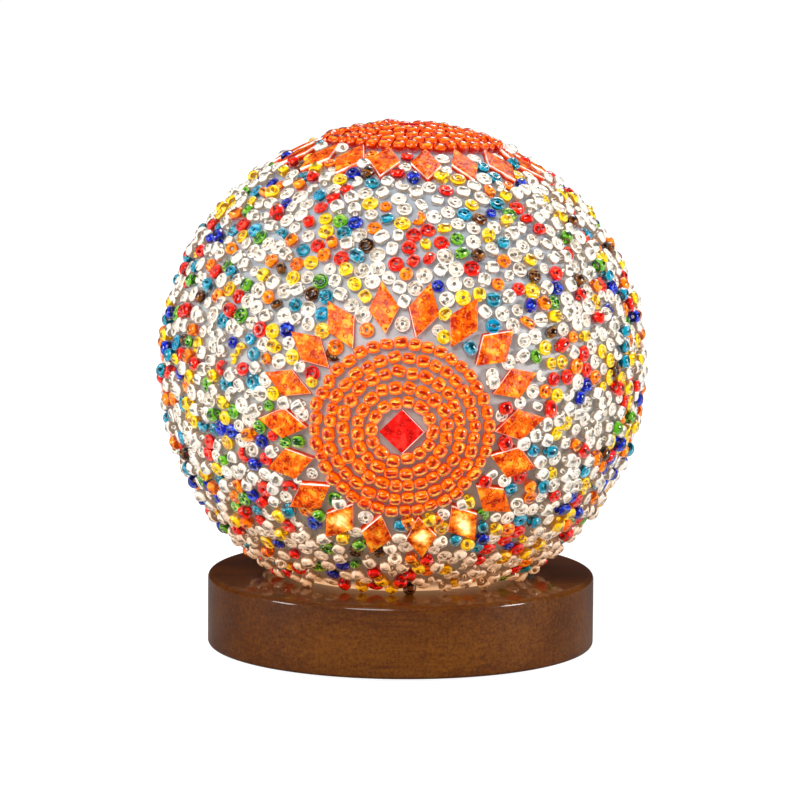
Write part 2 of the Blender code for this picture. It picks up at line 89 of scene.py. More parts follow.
# Medallions: azimuth from the front towards +X, and latitude, in degrees
MEDALLIONS = {
    "front": (0, -7),
    "right": (120, -7),
    "left": (-120, -7),
    "top": (137, 86.6),
}
RING_COUNTS = (14, 20, 26, 33, 40)
RING_DEGREES = (7.0, 10.35, 13.7, 17.05, 20.4)
DISC_EDGE_DEG = 22.3
DIAMOND_COUNT = 18
DIAMOND_CENTRE_DEG = 28.8
DIAMOND_HALF_LONG = 6.93 * MM
DIAMOND_HALF_SHORT = 4.0 * MM
TILE_BOTTOM = 60.5 * MM
TILE_THICKNESS = 1.9 * MM
# How far a tile's back lies to one side of its face
TILE_SLANT = 0.28 * MM
RED_TILE_SLANT = (0.55 * MM, -0.55 * MM)
# Tiles that get a painted hot spot of LED light, as if an LED shone straight through them, by their place
# in each ring but the top one
LIT_TILES = (12, 14, 15)

# Share of each colour among the beads between the medallions
FIELD_COLOURS = {
    "clear": 0.52,
    "yellow": 0.12,
    "red": 0.10,
    "orange": 0.065,
    "turquoise": 0.065,
    "cobalt": 0.055,
    "green": 0.05,
    "brown": 0.025,
}


# ---- mesh helpers


def link(obj):
    bpy.context.scene.collection.objects.link(obj)
    return obj


def mesh_object(name, vertices, faces):
    """A mesh from points and faces, shaded smooth."""
    mesh = bpy.data.meshes.new(name)
    mesh.from_pydata([tuple(v) for v in vertices], [], [tuple(f) for f in faces])
    mesh.validate()
    mesh.shade_smooth()
    return link(bpy.data.objects.new(name, mesh))


def quad_mesh_object(name, vertices, quads):
    """A large all-quad mesh from numpy arrays, shaded smooth."""
    mesh = bpy.data.meshes.new(name)
    mesh.vertices.add(len(vertices))
    mesh.vertices.foreach_set("co", np.asarray(vertices, np.float32).ravel())
    mesh.loops.add(quads.size)
    mesh.loops.foreach_set("vertex_index", quads.astype(np.int32).ravel())
    mesh.polygons.add(len(quads))
    mesh.polygons.foreach_set("loop_start", np.arange(0, quads.size, 4, dtype=np.int32))
    mesh.update(calc_edges=True)
    mesh.shade_smooth()
    return link(bpy.data.objects.new(name, mesh))


def finish_piece(obj, body, slot, *materials):
    for material in materials:
        obj.data.materials.append(material)
    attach(obj, body)
    return obj


def arc(radius, start_deg, end_deg, steps, centre=(0.0, 0.0)):
    """Points (r, z) of a circle, by their angle from +Z."""
    points = []
    for step in range(steps + 1):
        angle = math.radians(start_deg + (end_deg - start_deg) * step / steps)
        points.append((centre[0] + radius * math.sin(angle), centre[1] + radius * math.cos(angle)))
    return points


def turned(name, profile, steps, sharp_deg=40):
    """A profile of (r, z) points turned about +Z, running top to bottom down its outer side."""
    closed = profile[0][0] > 0
    edges = [(i, i + 1) for i in range(len(profile) - 1)]
    if closed:
        edges.append((len(profile) - 1, 0))
    shape = bpy.data.meshes.new(name)
    shape.from_pydata([(r, 0, z) for r, z in profile], edges, [])
    obj = link(bpy.data.objects.new(name, shape))
    screw = obj.modifiers.new("turn", "SCREW")
    screw.steps = steps
    screw.render_steps = steps
    screw.use_merge_vertices = True
    screw.merge_threshold = 0.00001
    return baked(obj, sharp_deg)


def baked(obj, sharp_deg=40):
    """Replaces an object's mesh by what its modifiers make of it, shaded smooth with sharp edges kept."""
    graph = bpy.context.evaluated_depsgraph_get()
    mesh = bpy.data.meshes.new_from_object(obj.evaluated_get(graph))
    obj.modifiers.clear()
    obj.data = mesh
    mesh.shade_smooth()
    mesh.set_sharp_from_angle(angle=math.radians(sharp_deg))
    return obj


def axis_matrix(azimuth, latitude):
    """Turns +Z to a direction on the globe and +Y upwards along its surface."""
    tilt = Matrix.Rotation(math.radians(90 - latitude), 3, "X")
    return np.array(Matrix.Rotation(math.radians(azimuth), 3, "Z") @ tilt)


# ---- materials


def node_maker(tree):
    """A function that adds a node and sets its properties, or else the inputs of that name."""

    def add(kind, **values):
        node = tree.nodes.new(kind)
        for key, value in values.items():
            if hasattr(node, key):
                setattr(node, key, value)
            else:
                node.inputs[key.replace("_", " ")].default_value = value
        return node

    return add


def new_material(name):
    """A material, its shader, and the functions that connect and add its nodes."""
    material = bpy.data.materials.new(name)
    material.use_nodes = True
    tree = material.node_tree
    return material, tree.nodes["Principled BSDF"], tree.links.new, node_maker(tree)


def set_inputs(shader, **values):
    for key, value in values.items():
        shader.inputs[key.replace("_", " ")].default_value = value


def feed(connect, socket, value):
    """Connects an input to another node's output, or sets it to a plain value."""
    if isinstance(value, bpy.types.NodeSocket):
        connect(value, socket)
    else:
        socket.default_value = value


def object_place(add):
    return add("ShaderNodeTexCoord").outputs["Object"]


def colour_ramp(add, connect, value, stops):
    """The colour at a value of 0 to 1, between (position, colour) stops."""
    node = add("ShaderNodeValToRGB")
    elements = node.color_ramp.elements
    while len(elements) < len(stops):
        elements.new(0.5)
    for element, (position, colour) in zip(elements, stops):
        element.position = position
        element.color = (*colour, 1.0)
    connect(value, node.inputs["Fac"])
    return node.outputs["Color"]


def linear(red, green, blue):
    """Linear values of an sRGB colour given in 0 to 255."""

    def channel(value):
        value /= 255
        return value / 12.92 if value <= 0.04045 else ((value + 0.055) / 1.055) ** 2.4

    return tuple(channel(value) for value in (red, green, blue))


def noise(add, connect, coordinates, scale, detail=2.0, roughness=0.6):
    node = add("ShaderNodeTexNoise", Scale=scale, Detail=detail, Roughness=roughness)
    connect(coordinates, node.inputs["Vector"])
    return node.outputs["Fac"]


def bump(add, connect, shader, height, strength, distance):
    node = add("ShaderNodeBump", Strength=strength, Distance=distance)
    connect(height, node.inputs["Height"])
    connect(node.outputs["Normal"], shader.inputs["Normal"])


def maths(add, connect, operation, *values):
    """The result of a sum on sockets and plain numbers."""
    node = add("ShaderNodeMath", operation=operation)
    for socket, value in zip(node.inputs, values):
        feed(connect, socket, value)
    return node.outputs["Value"]


def vector_maths(add, connect, operation, *values):
    """A node that works on vectors, each a socket or a plain vector."""
    node = add("ShaderNodeVectorMath", operation=operation)
    for socket, value in zip(node.inputs, values):
        feed(connect, socket, value)
    return node


def window(add, connect, value, low, high, soft):
    """1 where a value lies between low and high, falling off softly to 0 outside."""
    slopes = []
    for begin, end in ((low - soft, low + soft), (high + soft, high - soft)):
        slope = add("ShaderNodeMapRange", interpolation_type="SMOOTHSTEP", From_Min=begin, From_Max=end)
        connect(value, slope.inputs["Value"])
        slopes.append(slope.outputs["Result"])
    return maths(add, connect, "MULTIPLY", *slopes)


def rippled(add, connect, ripple, value, amount):
    """A value shifted to and fro by a noise of 0 to 1."""
    shifted = maths(add, connect, "MULTIPLY_ADD", ripple, amount, value)
    return maths(add, connect, "SUBTRACT", shifted, amount / 2)


def mixed(add, connect, share, first, second, blend="MIX"):
    """The mix of two colours, each a socket or a plain colour."""
    node = add("ShaderNodeMix", data_type="RGBA", blend_type=blend)
    factor, colour_a, colour_b, result = node.inputs[0], node.inputs[6], node.inputs[7], node.outputs[2]
    for socket, value in ((factor, share), (colour_a, first), (colour_b, second)):
        feed(connect, socket, (*value, 1.0) if isinstance(value, tuple) else value)
    return result


def facing_outwards(add, connect):
    """How far a surface faces away from the globe's centre: 1 on top of a bead, 0 on its flank."""
    arm = vector_maths(add, connect, "SUBTRACT", object_place(add), GLOBE_CENTRE)
    outwards = vector_maths(add, connect, "NORMALIZE", arm.outputs["Vector"])
    normal = add("ShaderNodeNewGeometry").outputs["Normal"]
    return vector_maths(add, connect, "DOT_PRODUCT", outwards.outputs["Vector"], normal).outputs["Value"]


def height_share(add, connect, place, low, high):
    """0 at one height of the lamp and 1 at another."""
    split = add("ShaderNodeSeparateXYZ")
    connect(place, split.inputs["Vector"])
    share = add("ShaderNodeMapRange", From_Min=low, From_Max=high)
    connect(split.outputs["Z"], share.inputs["Value"])
    return share.outputs["Result"]


def lie_of(add, connect):
    """Where a point is in its bead or tile, whole and as its X, Y and Z."""
    whole = add("ShaderNodeAttribute", attribute_name="lie").outputs["Vector"]
    split = add("ShaderNodeSeparateXYZ")
    connect(whole, split.inputs["Vector"])
    return whole, *split.outputs


def bead_streaks(add, connect, lie, island):
    """Streaks that run along a bead's hole, different in each bead, as a noise of 0 to 1; they place
    painted streaks of refracted light and shade.
    """
    stretched = vector_maths(add, connect, "MULTIPLY", lie, (1.0, 0.3, 1.0))
    node = add("ShaderNodeTexNoise", noise_dimensions="4D", Scale=1.9, Detail=2.0, Roughness=0.55)
    connect(stretched.outputs["Vector"], node.inputs["Vector"])
    connect(maths(add, connect, "MULTIPLY", island, 60.0), node.inputs["W"])
    return node.outputs["Fac"]


def bead_masks(add, connect, place, island, uneven):
    """Where a bead gets its band of painted hole shade, where painted light gathers on its downhill side,
    and the noise for its painted streaks.
    """
    lie, x, y, z = lie_of(add, connect)
    ripple = noise(add, connect, place, 420.0)
    across = rippled(add, connect, ripple, x, 0.8)
    along = rippled(add, connect, uneven, y, 0.5)
    downhill = rippled(add, connect, uneven, z, 0.6)
    # The band of painted hole shade: across the hole and most of the way along it
    band = window(add, connect, across, -0.22, 0.22, 0.12)
    reach = window(add, connect, along, -0.66, 0.66, 0.18)
    hole = maths(add, connect, "MULTIPLY", band, reach)
    # Painted light gathered on the downhill side, as if the glass focused light from above
    light = window(add, connect, downhill, 0.36, 0.64, 0.12)
    middle = window(add, connect, along, -0.6, 0.6, 0.15)
    patchy = window(add, connect, uneven, 0.40, 0.9, 0.08)
    gathered = maths(add, connect, "MULTIPLY", maths(add, connect, "MULTIPLY", light, middle), patchy)
    return hole, gathered, bead_streaks(add, connect, lie, island)


def bead_material(name, stops, hole, streak_light, rim, flank, glow, transmission):
    """Glass beads: each takes its own tone, and a band of painted shade shows where its dark hole would be
    seen through the glass.

    The mesh says where each point is in its bead: X across the hole, Y along it, Z downhill.
    """
    material, shader, connect, add = new_material(name)
    place = object_place(add)
    island = add("ShaderNodeNewGeometry").outputs["Random Per Island"]
    shade = colour_ramp(add, connect, island, stops)
    uneven = noise(add, connect, place, 700.0)
    painted_hole_shade, gathered, streaks = bead_masks(add, connect, place, island, uneven)
    # Painted streaks of refracted light and shade: dark ones in the flank colour, pale ones in the streak
    # colour
    painted_shade_streaks = window(add, connect, streaks, -1.0, 0.42, 0.05)
    painted_light_streaks = window(add, connect, streaks, 0.57, 2.0, 0.05)
    shadowed = mixed(add, connect, painted_shade_streaks, shade, flank)
    streaked = mixed(add, connect, painted_light_streaks, shadowed, streak_light)
    # Painted shade: the dark of the hole, laid on the surface where it would show through the glass
    with_hole_shade = mixed(add, connect, painted_hole_shade, streaked, hole)
    # Painted light: the gathered light is laid in the streak colour
    bulk = mixed(add, connect, gathered, with_hole_shade, streak_light)
    cloud = noise(add, connect, place, 1100.0)
    cloudy = colour_ramp(add, connect, cloud, [(0.40, (0.62, 0.62, 0.62)), (0.56, WHITE)])
    bulk = mixed(add, connect, 1.0, bulk, cloudy, "MULTIPLY")
    facing = facing_outwards(add, connect)
    # Painted highlight on the bead's rounded rim
    rim_highlighted = mixed(add, connect, window(add, connect, facing, 0.38, 0.72, 0.12), bulk, rim)
    # Painted shade on the bead's flank, where it turns down towards the glass
    shaded = mixed(add, connect, window(add, connect, facing, -2.0, 0.3, 0.12), rim_highlighted, flank)
    # Painted shade and warm reflected light: the beads are made darker and warmer towards the bottom of the
    # globe
    low = mixed(add, connect, 1.0, shaded, (0.92, 0.62, 0.38), "MULTIPLY")
    lift = height_share(add, connect, place, GLOBE_CENTRE.z - 58 * MM, GLOBE_CENTRE.z - 25 * MM)
    lit = mixed(add, connect, lift, low, shaded)
    connect(lit, shader.inputs["Base Color"])
    # Painted glow: the beads give off light of their own at the strength glow, dimmer and warmer low on the
    # globe
    dim = mixed(add, connect, lift, (0.85, 0.52, 0.28), WHITE)
    connect(mixed(add, connect, 1.0, lit, dim, "MULTIPLY"), shader.inputs["Emission Color"])
    bump(add, connect, shader, uneven, 0.10, 0.0002)
    set_inputs(shader, Roughness=0.06, IOR=1.45, Transmission_Weight=transmission)
    set_inputs(shader, Specular_IOR_Level=0.36, Emission_Strength=glow)
    material.cycles.emission_sampling = "NONE"
    return material


def bead_materials():
    """A material for each colour of bead.

    A look is the bead's shades, then the colours of its painted hole shade, its painted light streaks and
    gathered light, its painted rim highlight and its painted flank shade, then its painted glow, and how
    much light it lets through.
    """
    looks = {
        "clear": (
            [(0.0, (0.84, 0.70, 0.54)), (0.45, (0.95, 0.87, 0.74)), (0.75, (0.66, 0.55, 0.42))],
            (0.19, 0.17, 0.145), (1.0, 0.96, 0.88), (1.0, 0.94, 0.84), (0.20, 0.145, 0.10), 0.50, 0.4,
        ),
        "yellow": (
            [(0.0, (0.95, 0.66, 0.0)), (0.5, (0.9, 0.50, 0.0)), (0.8, (0.7, 0.28, 0.0))],
            (0.22, 0.10, 0.0), (1.0, 0.9, 0.15), (1.0, 0.70, 0.0), (0.30, 0.12, 0.0), 0.50, 0.35,
        ),
        "red": (
            [(0.0, (0.80, 0.010, 0.002)), (0.7, (0.58, 0.004, 0.002))],
            (0.10, 0.0, 0.0), (1.0, 0.08, 0.02), (0.85, 0.006, 0.0), (0.16, 0.0, 0.0), 0.55, 0.3,
        ),
        "orange": (
            [(0.0, (0.95, 0.24, 0.0)), (0.6, (0.9, 0.14, 0.0))],
            (0.14, 0.025, 0.0), (1.0, 0.50, 0.02), (1.0, 0.22, 0.0), (0.3, 0.03, 0.0), 0.50, 0.3,
        ),
        "turquoise": (
            [(0.0, (0.0, 0.22, 0.34)), (0.5, (0.0, 0.12, 0.16)), (0.8, (0.0, 0.32, 0.6))],
            (0.0, 0.05, 0.07), (0.15, 0.65, 0.85), (0.0, 0.34, 0.50), (0.0, 0.035, 0.05), 0.36, 0.4,
        ),
        "cobalt": (
            [(0.0, (0.004, 0.012, 0.42)), (0.6, (0.002, 0.005, 0.18))],
            (0.0, 0.0, 0.035), (0.04, 0.12, 0.9), (0.002, 0.015, 0.55), (0.0, 0.001, 0.05), 0.34, 0.3,
        ),
        "green": (
            [(0.0, (0.16, 0.52, 0.01)), (0.6, (0.015, 0.16, 0.008))],
            (0.008, 0.06, 0.0), (0.5, 0.85, 0.1), (0.14, 0.5, 0.01), (0.005, 0.05, 0.0), 0.34, 0.4,
        ),
        "brown": (
            [(0.0, (0.16, 0.03, 0.002)), (0.6, (0.025, 0.006, 0.002))],
            (0.015, 0.003, 0.0), (0.6, 0.22, 0.03), (0.2, 0.05, 0.005), (0.01, 0.002, 0.0), 0.1, 0.3,
        ),
        "ring": (
            [(0.0, (0.98, 0.15, 0.0)), (0.5, (0.92, 0.10, 0.0)), (0.9, (0.86, 0.06, 0.0))],
            (0.34, 0.010, 0.0), (1.0, 0.60, 0.06), (1.0, 0.15, 0.0), (0.42, 0.018, 0.0), 0.52, 0.3,
        ),
        # A darker copy of the ring beads for the top medallion: painted shade
        "shaded_ring": (
            [(0.0, (0.85, 0.07, 0.0)), (0.5, (0.78, 0.05, 0.0)), (0.9, (0.66, 0.03, 0.0))],
            (0.26, 0.004, 0.0), (1.0, 0.34, 0.02), (0.85, 0.07, 0.0), (0.30, 0.005, 0.0), 0.48, 0.2,
        ),
    }
    return {colour: bead_material(colour + "_glass_beads", *look) for colour, look in looks.items()}


def led_core(add, connect, blotches):
    """The painted light of an LED in the middle of the tiles that have one behind them."""
    lie = add("ShaderNodeAttribute", attribute_name="lie").outputs["Vector"]
    flat = vector_maths(add, connect, "MULTIPLY", lie, (0.6, 1.0, 0.0))
    radius = vector_maths(add, connect, "LENGTH", flat.outputs["Vector"]).outputs["Value"]
    ragged = rippled(add, connect, blotches, radius, -3.0)
    fade = add("ShaderNodeMapRange", interpolation_type="SMOOTHSTEP", From_Min=1.9, From_Max=0.1)
    connect(ragged, fade.inputs["Value"])
    lit = add("ShaderNodeAttribute", attribute_name="led_behind").outputs["Fac"]
    return maths(add, connect, "MULTIPLY", fade.outputs["Result"], lit)


def tile_face_material(name, light, mid, dark):
    """The pebbled face of a hand-cut glass tile, with a painted hot spot of LED light in the middle where
    an LED is behind it, and a faint painted glow all over.
    """
    material, shader, connect, add = new_material(name + "_face")
    place = object_place(add)
    blotches = noise(add, connect, place, 330.0, 3.0)
    blotched = colour_ramp(add, connect, blotches, [(0.40, dark), (0.47, mid), (0.55, mid), (0.63, light)])
    cells = add("ShaderNodeTexVoronoi", Scale=480.0)
    connect(place, cells.inputs["Vector"])
    ring = window(add, connect, cells.outputs["Distance"], 0.20, 0.31, 0.05)
    fine = noise(add, connect, place, 1500.0, 3.0)
    crackle = window(add, connect, fine, 0.58, 0.9, 0.04)
    ringed = mixed(add, connect, ring, blotched, dark)
    flecked = mixed(add, connect, maths(add, connect, "MULTIPLY", crackle, blotches), ringed, light)
    connect(flecked, shader.inputs["Base Color"])
    # Painted light: a warm hot spot with a white-hot middle where an LED is behind the tile
    core = led_core(add, connect, blotches)
    warm = mixed(add, connect, core, flecked, (4.2, 1.5, 0.06))
    hot = mixed(add, connect, maths(add, connect, "POWER", core, 4.0), warm, (5.5, 4.4, 2.0))
    connect(hot, shader.inputs["Emission Color"])
    relief = maths(add, connect, "ADD", cells.outputs["Distance"], fine)
    bump(add, connect, shader, relief, 0.5, 0.0004)
    # The emission strength gives the whole face a faint painted glow
    set_inputs(shader, Roughness=0.14, Specular_IOR_Level=0.2, Emission_Strength=0.32)
    material.cycles.emission_sampling = "NONE"
    return material


def tile_edge_material(name, mid, dark, highlight_from):
    """The cut edge of a tile, with a painted highlight above a share of its height, darker towards the
    bottom, and a faint painted glow.
    """
    material, shader, connect, add = new_material(name + "_edge")
    *_, height = lie_of(add, connect)
    # A noise that makes the lower edge of the painted highlight ragged
    highlight_wander = noise(add, connect, object_place(add), 130.0, 4.0, 0.7)
    wander = rippled(add, connect, highlight_wander, height, 1.1)
    # Dark low on the edge, then a painted highlight, pale pink to near white, above the share
    stops = [
        (highlight_from - 0.25, dark),
        (highlight_from - 0.1, mid),
        (highlight_from, linear(235, 150, 130)),
        (highlight_from + 0.08, linear(255, 240, 230)),
    ]
    colour = colour_ramp(add, connect, wander, stops)
    connect(colour, shader.inputs["Base Color"])
    # The emission gives the edge a faint painted glow
    connect(colour, shader.inputs["Emission Color"])
    set_inputs(shader, Roughness=0.25, IOR=1.5, Emission_Strength=0.35)
    material.cycles.emission_sampling = "NONE"
    return material


def tile_materials(name, light, mid, dark, highlight_from):
    """The materials of a tile's face and of its cut edge."""
    return tile_face_material(name, light, mid, dark), tile_edge_material(name, mid, dark, highlight_from)


def frosted_glass_material():
    """Sandblasted glass with a painted warm glow low down, where it is close to the LEDs, and a faint
    painted glow above; its colour is painted light too, warm low down and bluish overhead.
    """
    material, shader, connect, add = new_material("frosted_glass_lit_from_below")
    place = object_place(add)
    height = height_share(add, connect, place, BASE_TOP, GLOBE_CENTRE.z + GLASS_RADIUS)
    # Painted glow by height: bright and warm at the neck, faint and bluish at the top
    glows = [
        (0.0, (0.75, 0.43, 0.22)),
        (0.008, (0.5, 0.27, 0.13)),
        (0.022, (0.10, 0.065, 0.04)),
        (0.25, (0.09, 0.075, 0.06)),
        (0.6, (0.12, 0.12, 0.12)),
        (1.0, (0.11, 0.13, 0.15)),
    ]
    connect(colour_ramp(add, connect, height, glows), shader.inputs["Emission Color"])
    # Painted light in the glass's colour: warm low down, bluish overhead
    painted_light_tints = [(0.1, linear(158, 142, 122)), (0.4, linear(174, 169, 162)), (0.8, linear(176, 183, 192))]
    painted_light_tint = colour_ramp(add, connect, height, painted_light_tints)
    cloud = noise(add, connect, place, 160.0, 4.0)
    cloudy = colour_ramp(add, connect, cloud, [(0.3, (0.82, 0.82, 0.82)), (0.7, WHITE)])
    connect(mixed(add, connect, 1.0, painted_light_tint, cloudy, "MULTIPLY"), shader.inputs["Base Color"])
    bump(add, connect, shader, noise(add, connect, place, 3000.0), 0.25, 0.0001)
    set_inputs(shader, Roughness=0.45, Emission_Strength=1.0)
    return material


def walnut_material():
    """Satin walnut-stained wood with long grain and short dark pores."""
    material, shader, connect, add = new_material("walnut_stain")
    place = object_place(add)
    turn = (0.0, math.radians(-12), math.radians(5))
    stretch = add("ShaderNodeMapping", Scale=(0.10, 1.0, 1.0), Rotation=turn)
    connect(place, stretch.inputs["Vector"])
    bands = noise(add, connect, stretch.outputs["Vector"], 70.0, 3.0, 0.5)
    fibres = noise(add, connect, stretch.outputs["Vector"], 900.0, 4.0)
    grain = add("ShaderNodeMix", data_type="FLOAT", Factor=0.4)
    connect(bands, grain.inputs["A"])
    connect(fibres, grain.inputs["B"])
    stains = [(0.36, (0.062, 0.014, 0.0003)), (0.5, (0.103, 0.026, 0.0005)), (0.64, (0.160, 0.047, 0.0020))]
    stain = colour_ramp(add, connect, grain.outputs["Result"], stains)
    specks = noise(add, connect, place, 1400.0, 3.0)
    shades = [(0.36, (0.72, 0.68, 0.62)), (0.5, WHITE), (0.68, (1.25, 1.25, 1.2))]
    pores = colour_ramp(add, connect, specks, shades)
    connect(mixed(add, connect, 1.0, stain, pores, "MULTIPLY"), shader.inputs["Base Color"])
    bump(add, connect, shader, fibres, 0.08, 0.0002)
    set_inputs(shader, Roughness=0.42, Specular_IOR_Level=0.10, Coat_Weight=0.5, Coat_Roughness=0.06)
    return material


def plain_material(name, colour, roughness, metallic=0.0, depth=0.00003, **more):
    """A moulded, plated or rubbery surface with a fine grain and slightly uneven colour."""
    material, shader, connect, add = new_material(name)
    cloud = noise(add, connect, object_place(add), 600.0, 3.0)
    darker = tuple(0.8 * value for value in colour)
    uneven = colour_ramp(add, connect, cloud, [(0.35, darker), (0.65, colour)])
    connect(uneven, shader.inputs["Base Color"])
    bump(add, connect, shader, cloud, 0.3, depth)
    set_inputs(shader, Roughness=roughness, Metallic=metallic, **more)
    return material


# ---- beads


def bead_profile():
    """The cross-section of a seed bead, as (r, z) points from inside its hole outwards and back."""
    hole, radius, half = HOLE_RADIUS, BEAD_RADIUS, BEAD_HALF_LENGTH
    upper = [
        (hole, 0.55 * half),
        (hole + 0.13 * radius, 0.94 * half),
        (0.62 * radius, half),
        (0.88 * radius, 0.76 * half),
        (radius, 0.27 * half),
    ]
    lower = [(r, -z) for r, z in reversed(upper)]
    return upper + lower


def bead_template(sweep_deg=360.0):
    """Points and quads of one bead about +Z; a part sweep is a broken bead with closed ends."""
    profile = bead_profile()
    count = len(profile)
    whole = sweep_deg >= 360.0
    segments = BEAD_SEGMENTS if whole else max(4, round(BEAD_SEGMENTS * sweep_deg / 360))
    stations = segments if whole else segments + 1
    vertices = []
    for station in range(stations):
        angle = math.radians(sweep_deg) * station / segments
        vertices += [(r * math.cos(angle), r * math.sin(angle), z) for r, z in profile]
    quads = []
    for segment in range(segments):
        here = segment * count
        there = ((segment + 1) % stations) * count
        for i in range(count):
            j = (i + 1) % count
            quads.append((here + j, here + i, there + i, there + j))
    if not whole:
        last = (stations - 1) * count
        for i in range(count // 2 - 1):
            a, b, c, d = i, i + 1, count - 2 - i, count - 1 - i
            quads.append((a, b, c, d))
            quads.append((last + d, last + c, last + b, last + a))
    return np.array(vertices), np.array(quads)


def beads_mesh(name, template, frames, places, scales):
    """One mesh of many beads: each has a 3 x 3 frame, a place and a scale per axis."""
    vertices, quads = template
    scaled = vertices[None, :, :] * scales[:, None, :]
    offset = np.einsum("nij,nvj->nvi", frames, scaled)
    moved = offset + places[:, None, :]
    shift = (np.arange(len(places)) * len(vertices))[:, None, None]
    obj = quad_mesh_object(name, moved.reshape(-1, 3), (quads[None] + shift).reshape(-1, 4))
    attribute = obj.data.attributes.new("lie", "FLOAT_VECTOR", "POINT")
    attribute.data.foreach_set("vector", lie_in_bead(offset, frames, places, scales).ravel())
    return obj


def lie_in_bead(offset, frames, places, scales):
    """Where each point is in its bead: across the hole, along it and downhill, each about -1 to 1.

    A bead on its end has its hole open to view, so along is put out of reach there.
    """
    outwards = unit(places - CENTRE)
    axes = frames[:, :, 2]
    across = np.cross(axes, outwards)
    lying = np.linalg.norm(across, axis=1)
    across = across / np.maximum(lying, 1e-6)[:, None]
    radius = BEAD_RADIUS * scales[:, 0]
    half = BEAD_HALF_LENGTH * scales[:, 2]
    east = unit(np.cross(UP, outwards))
    downhill = -np.cross(outwards, east)
    lie = np.stack(
        [
            (offset * across[:, None, :]).sum(axis=2) / radius[:, None],
            (offset * axes[:, None, :]).sum(axis=2) / half[:, None],
            (offset * downhill[:, None, :]).sum(axis=2) / radius[:, None],
        ],
        axis=2,
    )
    lie[lying < 0.5, :, 1] = 9.0
    return lie.astype(np.float32)


def direction(out, around):
    """The unit direction at an angle out from +Z, and at an angle around it from +X."""
    return np.stack([np.sin(out) * np.cos(around), np.sin(out) * np.sin(around), np.cos(out)], axis=-1)


def unit(vectors):
    return vectors / np.linalg.norm(vectors, axis=-1, keepdims=True)


def frames_from_axes(axes, hints):
    """3 x 3 frames whose +Z is each axis."""
    x = unit(np.cross(hints, axes))
    y = np.cross(axes, x)
    return np.stack([x, y, axes], axis=2)


def tangent_at(normals, angles):
    """A direction along the globe's surface at each normal, turned by an angle."""
    east = unit(np.cross(UP, normals))
    north = np.cross(normals, east)
    return np.cos(angles)[:, None] * east + np.sin(angles)[:, None] * north


def diamond_frames(side):
    """3 x 3 frames of a medallion's diamonds, laid by hand: +Z off the globe, +X away from the middle."""
    rng = np.random.default_rng(SEED + len(side))
    turn = axis_matrix(*MEDALLIONS[side])
    frames = []
    for index in range(DIAMOND_COUNT):
        around = 360 * index / DIAMOND_COUNT + rng.normal(0, 1.0)
        out = DIAMOND_CENTRE_DEG + rng.normal(0, 0.35)
        local = np.array(
            Matrix.Rotation(math.radians(around), 3, "Z") @ Matrix.Rotation(math.radians(out), 3, "Y")
        )
        twist = np.array(Matrix.Rotation(math.radians(rng.normal(-2.0, 3.5)), 3, "Z"))
        frames.append(turn @ local @ twist)
    return frames


def obstacles():
    """Directions and radii of the discs over each diamond tile, which push the field's beads away."""
    places, radii = [], []
    # Each disc's place as a share of the tile's half length, and its radius in millimetres
    spots = ((0.0, 3.3), (0.32, 2.5), (-0.32, 2.5), (0.6, 1.5), (-0.6, 1.5), (0.85, 0.6), (-0.85, 0.6))
    for side in MEDALLIONS:
        for tile in diamond_frames(side):
            for share, radius in spots:
                spot = tile @ np.array([share * DIAMOND_HALF_LONG, 0.0, TILE_BOTTOM])
                places.append(spot / np.linalg.norm(spot))
                radii.append(radius * MM)
    return np.array(places), np.array(radii)


def gap_places():
    """Directions to one bead in each notch between two diamond tiles, close to the rings."""
    places = []
    out = math.radians(GAP_BEAD_DEG)
    for place in MEDALLIONS.values():
        turn = axis_matrix(*place)
        for index in range(DIAMOND_COUNT):
            around = 2 * math.pi * (index + 0.5) / DIAMOND_COUNT
            places.append(turn @ direction(out, around))
    return np.array(places)


def edge_places(rng):
    """Directions to the row of beads along the lower edge of the coat."""
    around = 2 * math.pi * (np.arange(EDGE_BEADS) + rng.normal(0, 0.08, EDGE_BEADS)) / EDGE_BEADS
    down = np.radians(EDGE_BEAD_DEG + rng.normal(0, 0.25, EDGE_BEADS))
    return direction(down, around)


def push_inside(points, axes, reach):
    """Moves points out of the medallions' bead discs and up from the coat's lower edge."""
    disc = math.radians(DISC_EDGE_DEG) + reach
    for axis in axes:
        close = points @ axis
        inside = close > math.cos(disc)
        if inside.any():
            sideways = unit(points[inside] - close[inside, None] * axis)
            points[inside] = math.cos(disc) * axis + math.sin(disc) * sideways
    edge = math.radians(COAT_END_DEG) - 0.75 * reach
    below = points[:, 2] < math.cos(edge)
    if below.any():
        flat = unit(points[below] * np.array([1.0, 1.0, 0.0]))
        points[below] = math.cos(edge) * UP + math.sin(edge) * flat
    return points


def pushes(points, others, pairs, reach, share):
    """How far each point is pushed to stand clear of the others it is paired with."""
    move = np.zeros_like(points)
    first, second = pairs
    apart = points[first] - others[second]
    distance = np.linalg.norm(apart, axis=1)
    overlap = np.clip(reach - distance, 0, None) / np.maximum(distance, 1e-9)
    np.add.at(move, first, share * apart * overlap[:, None])
    return move


